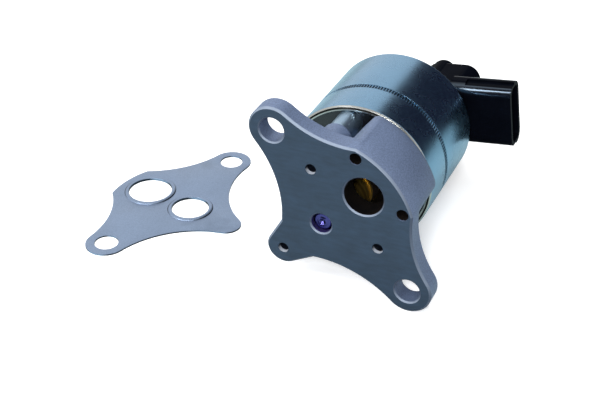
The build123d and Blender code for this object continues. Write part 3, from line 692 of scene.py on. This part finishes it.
class VALVE_OT_can(bpy.types.Operator):
    """Builds the drawn can with its crimped lip, knurled line and rolled shoulder"""

    bl_idname = "valve.can"
    bl_label = "Solenoid can"

    def execute(self, context):
        sizes = context.scene.valve_sizes
        tint = context.scene.valve_colours.zinc
        bm = self.shell(sizes)
        add_part(bm, self.teeth(sizes))
        zinc = plated_steel("zinc_can", tint)
        self.paint_knurl_shade(zinc.node_tree, tint, sizes)
        self.bare_crimp(zinc.node_tree, sizes)
        finish_piece(bm, "can_shell", SPINDLE, zinc, "plated_steel", "valve_body", "solenoid_can")
        return {"FINISHED"}

    def knurl_edges(self, sizes):
        """Heights in millimetres of the knurled line's two edges."""
        line, half = sizes.knurl_height / MM, sizes.knurl_width / MM / 2
        return line - half, line + half

    def shell(self, sizes):
        """Spins the can's wall, from the crimped lip round the shoulder and back inside.

        A point's third number is the rounding of its corner.
        """
        radius, wall = sizes.can_radius / MM, sizes.can_wall / MM
        inside, mouth = radius - wall, sizes.can_mouth / MM
        lip = inside - sizes.lip_overlap / MM
        groove = (lip + radius) / 2
        low, high, turned_in = CAN_LOW_MM, CAN_HIGH_MM, CAN_LOW_MM + sizes.can_roll / MM
        floor = radius - sizes.knurl_depth / MM - KNURL_BED_MM
        start, end = self.knurl_edges(sizes)
        return spun(rounded([
            (lip, turned_in), (lip, low, CRIMP_ROUND_MM), (groove - CRIMP_GROOVE_MM, low, CRIMP_ROUND_MM),
            (groove, low + CRIMP_DEPTH_MM, 0.08), (groove + CRIMP_GROOVE_MM, low + CRIMP_STEP_MM, 0.25),
            (radius, low + CRIMP_RISE_MM, 0.35), (radius, start - KNURL_EASE_MM, KNURL_ROUND_MM),
            (floor, start), (floor, end), (radius, end + KNURL_EASE_MM, KNURL_ROUND_MM),
            (radius, high, sizes.can_shoulder / MM), (mouth, high, 0.3), (mouth, high - wall),
            (inside, high - wall, 1.2), (inside, turned_in)], CORNER_STEPS), CAN_STEPS)

    def teeth(self, sizes):
        """Spins the bed of the knurled line and swells every other part of it to a tooth."""
        radius = sizes.can_radius / MM
        deep = radius - sizes.knurl_depth / MM
        root = deep - 2 * KNURL_BED_MM
        start, end = self.knurl_edges(sizes)
        steps = TOOTH_STEPS * sizes.knurl_teeth
        bm = spun([(root, start), (deep, start + KNURL_EASE_MM), (deep, end - KNURL_EASE_MM), (root, end)],
                  steps)
        crests = [v for v in bm.verts
                  if hypot(v.co.x, v.co.y) > (deep - KNURL_BED_MM) * MM
                  and round(atan2(v.co.y, v.co.x) / tau * steps) % TOOTH_STEPS < TOOTH_STEPS / 2]
        swell = (radius - KNURL_BED_MM / 2) / deep
        bmesh.ops.scale(bm, vec=(swell, swell, 1), verts=crests)
        return bm

    def paint_knurl_shade(self, tree, tint, sizes):
        """Paints shade on the knurl's upper wall and in the gaps between its teeth."""
        places = face_places(tree)
        radius = sizes.can_radius / MM
        start, end = self.knurl_edges(sizes)
        wall = all_of(tree, inside_span(tree, places[2], end - KNURL_EASE_MM, end + WALL_REACH_MM),
                      inside_round(tree, places, radius - WALL_GAP_MM))
        gap = all_of(tree, inside_span(tree, places[2], start, end),
                     inside_round(tree, places, radius - TOOTH_GAP_MM))
        # Painted shade on the knurl's upper wall and in the gaps between its teeth
        paint_over(tree, wall, shade(tint, WALL_SHADE))
        paint_over(tree, gap, shade(tint, RECESS_SHADE))

    def bare_crimp(self, tree, sizes):
        """Bares the rolled lip's metal, where the crimping rubbed the plating off, and paints shade into its
        groove.
        """
        places = face_places(tree)
        groove = (sizes.can_radius - (sizes.can_wall + sizes.lip_overlap) / 2) / MM
        inner, outer = [inside_round(tree, places, groove + side * CRIMP_SHADE_MM) for side in (-1, 1)]
        shaded = math_node(tree, "SUBTRACT", outer, inner)
        # Painted shade in the crimp's groove, over the bare metal
        metal = mix_colour(tree, shaded, CRIMP_METAL, shade(CRIMP_METAL, RECESS_SHADE))
        low, high = [CAN_LOW_MM + edge for edge in CRIMP_BARE_MM]
        paint_over(tree, inside_span(tree, places[2], low, high), metal)


class VALVE_OT_magnet(bpy.types.Operator):
    """Finishes the base plate, the posts and the screws seen between casting and can"""

    bl_idname = "valve.magnet"
    bl_label = "Base plate and posts"

    def execute(self, context):
        zinc = plated_steel("zinc_post", context.scene.valve_colours.post, rough=0.36)
        dress(zinc, "spacer_posts", "housing_screws")
        dress(plated_steel("plate_skin", PLATE_GREY, rough=0.40), "base_plate")
        return {"FINISHED"}


class VALVE_OT_gas_side(bpy.types.Operator):
    """Builds the pintle and finishes the seat, shield and bushing seen through the ports"""

    bl_idname = "valve.gas_side"
    bl_label = "Pintle and bushing"

    def execute(self, context):
        colours = context.scene.valve_colours
        steel = turned_metal("turned_steel", colours.steel, rough=0.2)
        dress(steel, "valve_seat", "gas_shield")
        dress(turned_metal("bronze", colours.bronze, rough=0.42, pitch=620, depth=0.0003), "stem_bushing")
        finish_piece(self.pintle(), "pintle_stem", SPINDLE, steel, "bare_steel", "pintle_body", "pintle")
        return {"FINISHED"}

    def pintle(self):
        """Spins the pintle with the centre mark that its turning left in the nose."""
        low, high = [corner.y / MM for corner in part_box("pintle")]
        nose = [(radius, low + up, *rounding) for radius, up, *rounding in NOSE_MM]
        outline = [*nose, *HEAD_MM, (STEM_MM, high, 0.3), (0, high)]
        return spun(rounded(outline, steps=6), RING_STEPS, closed=False)


class VALVE_OT_cap(bpy.types.Operator):
    """Finishes the moulded sensor cap and its connector"""

    bl_idname = "valve.cap"
    bl_label = "Sensor cap"

    def execute(self, context):
        dress(cap_plastic("cap_plastic", context.scene.valve_colours.plastic), "sensor_cap")
        return {"FINISHED"}


class VALVE_OT_inside(bpy.types.Operator):
    """Finishes the pieces that lie inside the can and the cap, and builds the two springs"""

    bl_idname = "valve.inside"
    bl_label = "Inner pieces"

    def execute(self, context):
        steel = turned_metal("bare_steel", BARE_STEEL)
        dress(steel, "lower_pole", "upper_pole", "armature", "top_plate")
        self.build_spring("return_spring", "pintle_lift", steel)
        self.build_spring("sensor_spring", "plunger_lift", steel)
        dress(turned_metal("sleeve_brass", SLEEVE_BRASS), "armature_sleeve", "terminals", "wiper_contacts")
        dress(turned_metal("copper_wire", COPPER, pitch=2500, depth=0.0001), "coil_winding")
        pale = moulded_plastic("sensor_plastic", PALE_PLASTIC, rough=0.45)
        dress(pale, "sensor_retainer", "sensor_plunger")
        dress(moulded_plastic("bobbin_plastic", BOBBIN_GREEN, rough=0.5), "coil_bobbin")
        dress(moulded_plastic("board", BOARD_GREEN, rough=0.3), "track_board")
        dress(moulded_plastic("seal_rubber", RUBBER, rough=0.7), "cap_seal")
        return {"FINISHED"}

    def build_spring(self, node, joint, steel):
        """Makes a steel spring with its own mesh that stands for the imported one."""
        spring = finish_piece(copied(node), node + "_coil", Matrix.Identity(4), steel, "spring_steel",
                              "valve_body", node)
        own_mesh(spring)


class VALVE_OT_gasket(bpy.types.Operator):
    """Builds the thin gasket with a pressed bead around each gas hole"""

    bl_idname = "valve.gasket"
    bl_label = "Gasket"

    def execute(self, context):
        sizes = context.scene.valve_sizes
        tint = context.scene.valve_colours.gasket
        bm = self.sheet(sizes)
        for mount in ("gasket_outlet_hole", "gasket_inlet_hole"):
            add_part(bm, self.bead(MOUNTS[mount], sizes))
        steel = plated_steel("gasket_sheet", tint, rough=0.38)
        self.shade_flanks(steel.node_tree, tint)
        finish_piece(bm, "gasket", Matrix.Identity(4), steel, "gasket_steel", "valve_body", "flange_gasket")
        return {"FINISHED"}

    def sheet(self, sizes):
        """Takes the gasket's outline from the underside of its solid and gives it its thickness."""
        bm = copied("flange_gasket")
        upper = [face for face in bm.faces if face.normal.z > UNDERSIDE]
        bmesh.ops.delete(bm, geom=upper, context="FACES")
        grown = bmesh.ops.extrude_face_region(bm, geom=bm.faces[:])["geom"]
        raised = [item for item in grown if isinstance(item, bmesh.types.BMVert)]
        bmesh.ops.translate(bm, vec=(0, 0, sizes.gasket_sheet), verts=raised)
        bmesh.ops.recalc_face_normals(bm, faces=bm.faces)
        rims = [edge for edge in bm.edges if edge.is_manifold and edge.calc_face_angle() > RIM_ANGLE
                and min(v.co.z for v in edge.verts) > FLOOR + sizes.gasket_sheet / 2]
        bmesh.ops.bevel(bm, geom=rims, offset=sizes.gasket_sheet / 5, segments=2, profile=0.5,
                        affect="EDGES", material=-1)
        return bm

    def bead(self, mount, sizes):
        """Spins the pressed ridge around one gas hole, with its foot in the sheet."""
        inner = mount["dims"]["r_mm"]
        width, sheet, rise = sizes.bead_width / MM, sizes.gasket_sheet / MM, sizes.bead_rise / MM
        ridge = [(inner + width * out, sheet + rise * up, rounding) for out, up, rounding in BEAD_CORNERS]
        bm = spun(rounded([(inner, sheet / 2), *ridge, (inner + width, sheet / 2)], steps=5), RING_STEPS)
        centre = Vector(mount["pos_m"])
        bmesh.ops.translate(bm, vec=(centre.x, centre.y, FLOOR), verts=bm.verts)
        return bm

    def shade_flanks(self, tree, tint):
        """Stains the sheet a little and paints shade on the flanks and rims that lean sideways, along x."""
        stain = between(tree, grain(tree, scale=38, detail=3), 0.0, 0.35, start=0.56, end=0.68)
        leaning = math_node(tree, "ABSOLUTE", normal_parts(tree, "Normal")["X"])
        paint_over(tree, stain, shade(tint, STAIN_SHADE))
        # Painted shade on the flanks and rims that lean sideways
        paint_over(tree, between(tree, leaning, 0.0, 1.0, start=0.3, end=0.55), shade(tint, FLANK_SHADE))


class VALVE_OT_stage(bpy.types.Operator):
    """Builds the pale floor, the soft studio light and the camera"""

    bl_idname = "valve.stage"
    bl_label = "Stage"

    def execute(self, context):
        look = context.scene.stage_look
        self.build_floor(look)
        self.build_world(context.scene, look)
        self.build_cards()
        self.build_lamps(context.scene)
        self.build_camera(context.scene, look)
        context.scene.view_settings.view_transform = "Standard"
        return {"FINISHED"}

    def build_floor(self, look):
        """Lays a floor that keeps the shadow near the part and turns white further away."""
        made = bpy.data.materials.new("white_floor")
        tree = bare_tree(made)
        path = add_node(tree, "ShaderNodeLightPath")
        paint = mix_colour(tree, path.outputs["Is Glossy Ray"], FLOOR_PAINT, FLOOR_MIRRORED_PAINT)
        matt = add_node(tree, "ShaderNodeBsdfDiffuse", {"Color": paint})
        place = add_node(tree, "ShaderNodeTexCoord")
        away = add_node(tree, "ShaderNodeVectorMath", {0: place.outputs["Object"]}, operation="LENGTH")
        seen = between(tree, away.outputs["Value"], look.floor_glow, 1.0, *FLOOR_FADE)
        direct = math_node(tree, "MULTIPLY", path.outputs["Is Camera Ray"], seen)
        mirrored = math_node(tree, "MULTIPLY", path.outputs["Is Glossy Ray"], look.floor_mirrored)
        glow = add_node(tree, "ShaderNodeEmission", {"Color": WHITE,
                                                     "Strength": math_node(tree, "ADD", direct, mirrored)})
        both = add_node(tree, "ShaderNodeAddShader", {0: matt.outputs[0], 1: glow.outputs[0]})
        add_node(tree, "ShaderNodeOutputMaterial", {"Surface": both.outputs[0]})
        bm = bmesh.new()
        bmesh.ops.create_grid(bm, x_segments=1, y_segments=1, size=look.floor_size / 2)
        bmesh.ops.translate(bm, vec=(0, 0, FLOOR - FLOOR_DROP), verts=bm.verts)
        floor = new_object(bm, "floor", made)

    def build_world(self, scene, look):
        """Fills the room with soft light, and shows it white to the camera and in gloss."""
        scene.world = bpy.data.worlds.new("studio")
        tree = bare_tree(scene.world)
        soft = add_node(tree, "ShaderNodeBackground", {"Color": SKY, "Strength": look.ambient})
        white = add_node(tree, "ShaderNodeBackground", {"Color": WHITE, "Strength": 1.0})
        path = add_node(tree, "ShaderNodeLightPath").outputs
        seen = any_of(tree, path["Is Camera Ray"], path["Is Glossy Ray"], path["Is Transmission Ray"])
        pick = add_node(tree, "ShaderNodeMixShader", {0: seen, 1: soft.outputs[0], 2: white.outputs[0]})
        add_node(tree, "ShaderNodeOutputWorld", {"Surface": pick.outputs[0]})

    def build_cards(self):
        """Stands up dark studio cards that show only in the gloss of the pieces."""
        made = bpy.data.materials.new("black_card")
        tree = bare_tree(made)
        clear = add_node(tree, "ShaderNodeBsdfTransparent")
        black = add_node(tree, "ShaderNodeEmission", {"Color": CARD_TINT, "Strength": CARD_GLOW})
        glossy = add_node(tree, "ShaderNodeLightPath").outputs["Is Glossy Ray"]
        pick = add_node(tree, "ShaderNodeMixShader", {0: glossy, 1: clear.outputs[0], 2: black.outputs[0]})
        add_node(tree, "ShaderNodeOutputMaterial", {"Surface": pick.outputs[0]})
        for name, low, high in CARDS:
            bm = bmesh.new()
            bmesh.ops.create_grid(bm, x_segments=1, y_segments=1, size=0.5)
            bmesh.ops.rotate(bm, matrix=Matrix.Rotation(radians(90), 3, "X"), verts=bm.verts)
            bmesh.ops.scale(bm, vec=(high[0] - low[0], 1, high[2] - low[2]), verts=bm.verts)
            bmesh.ops.translate(bm, vec=(Vector(low) + Vector(high)) / 2, verts=bm.verts)
            card = new_object(bm, name, made)

    def build_lamps(self, scene):
        """Hangs the soft boxes around the part."""
        for name, place, aim, size, power, mirrored in LAMPS:
            lamp = bpy.data.lights.new(name, "AREA")
            lamp.shape = "RECTANGLE"
            lamp.size, lamp.size_y = size
            lamp.energy = power
            holder = bpy.data.objects.new(name, lamp)
            holder.visible_glossy = mirrored
            holder.matrix_world = aimed(Vector(place), Vector(aim))
            scene.collection.objects.link(holder)

    def build_camera(self, scene, look):
        """Sets the camera at the photograph's viewing angle."""
        data = bpy.data.cameras.new("camera")
        data.lens = look.focal
        data.clip_start = CLIP_START
        camera = bpy.data.objects.new("camera", data)
        forward = Vector(look.camera_look).normalized()
        right = forward.cross(Vector(look.camera_up).normalized())
        turned = Matrix((right, right.cross(forward), -forward)).transposed().to_4x4()
        camera.matrix_world = Matrix.Translation(look.camera_place) @ turned
        scene.collection.objects.link(camera)
        scene.camera = camera


PIECES = (VALVE_OT_casting, VALVE_OT_can, VALVE_OT_magnet, VALVE_OT_gas_side, VALVE_OT_cap,
          VALVE_OT_inside, VALVE_OT_gasket, VALVE_OT_stage)


class VALVE_PT_pieces(bpy.types.Panel):
    """Lists the valve's pieces and settings in the 3D view's sidebar"""

    bl_idname = "VALVE_PT_pieces"
    bl_label = "Exhaust valve"
    bl_space_type = "VIEW_3D"
    bl_region_type = "UI"
    bl_category = "Valve"

    def draw(self, context):
        column = self.layout.column()
        for piece in PIECES:
            column.operator(piece.bl_idname)
        for group in (context.scene.valve_sizes, context.scene.valve_colours, context.scene.stage_look):
            for key in group.bl_rna.properties.keys():
                if key not in ("rna_type", "name"):
                    column.prop(group, key)


CLASSES = (ValveSizes, ValveColours, StageLook, *PIECES, VALVE_PT_pieces)


def register():
    """Registers the classes and hangs the settings on the scene."""
    for item in CLASSES:
        bpy.utils.register_class(item)
    bpy.types.Scene.valve_sizes = PointerProperty(type=ValveSizes)
    bpy.types.Scene.valve_colours = PointerProperty(type=ValveColours)
    bpy.types.Scene.stage_look = PointerProperty(type=StageLook)


def unregister():
    """Takes the settings and the classes away again."""
    del bpy.types.Scene.stage_look
    del bpy.types.Scene.valve_colours
    del bpy.types.Scene.valve_sizes
    for item in reversed(CLASSES):
        bpy.utils.unregister_class(item)


def main():
    """Registers the classes and builds every piece in order."""
    register()
    for piece in PIECES:
        group, name = piece.bl_idname.split(".")
        getattr(getattr(bpy.ops, group), name)()


if __name__ == "__main__":
    main()
